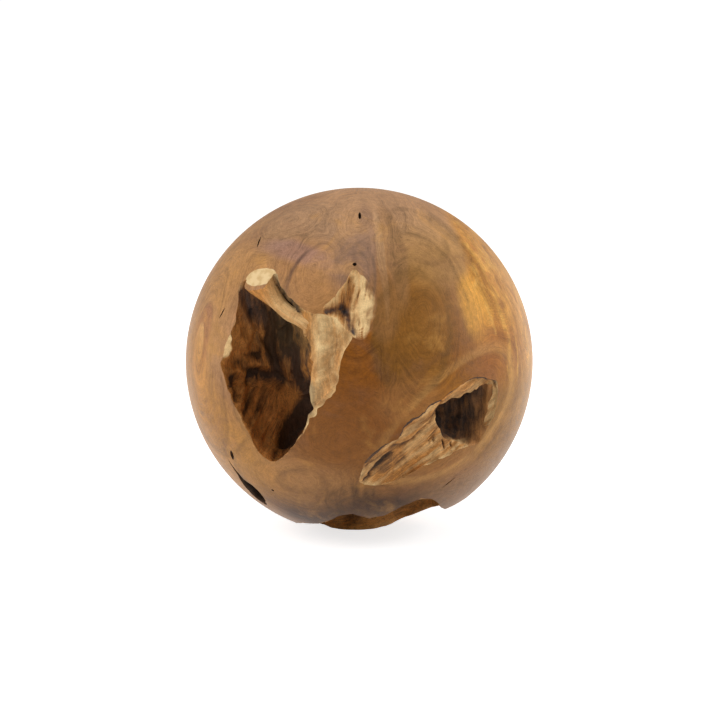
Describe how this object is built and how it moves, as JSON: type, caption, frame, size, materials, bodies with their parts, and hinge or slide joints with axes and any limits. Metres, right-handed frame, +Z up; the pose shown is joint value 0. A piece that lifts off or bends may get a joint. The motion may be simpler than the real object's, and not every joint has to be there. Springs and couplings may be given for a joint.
{
  "type": "decorative wooden ball",
  "caption": "Solid decorative ball of carved root wood with natural hollows and a root that bridges the largest one; it stands on a small flat.",
  "frame": {"origin": "middle of the flat that the ball stands on, straight below the ball's centre", "axes": "+Z up, -Y towards the front with the great hollow and the bridge root, +X to the right as seen from the front"},
  "size_m": [0.3, 0.3, 0.298],
  "materials": {
    "wood": "satin oil"
  },
  "bodies": {
    "root": {"ball": "wood"}
  },
  "joints": []
}
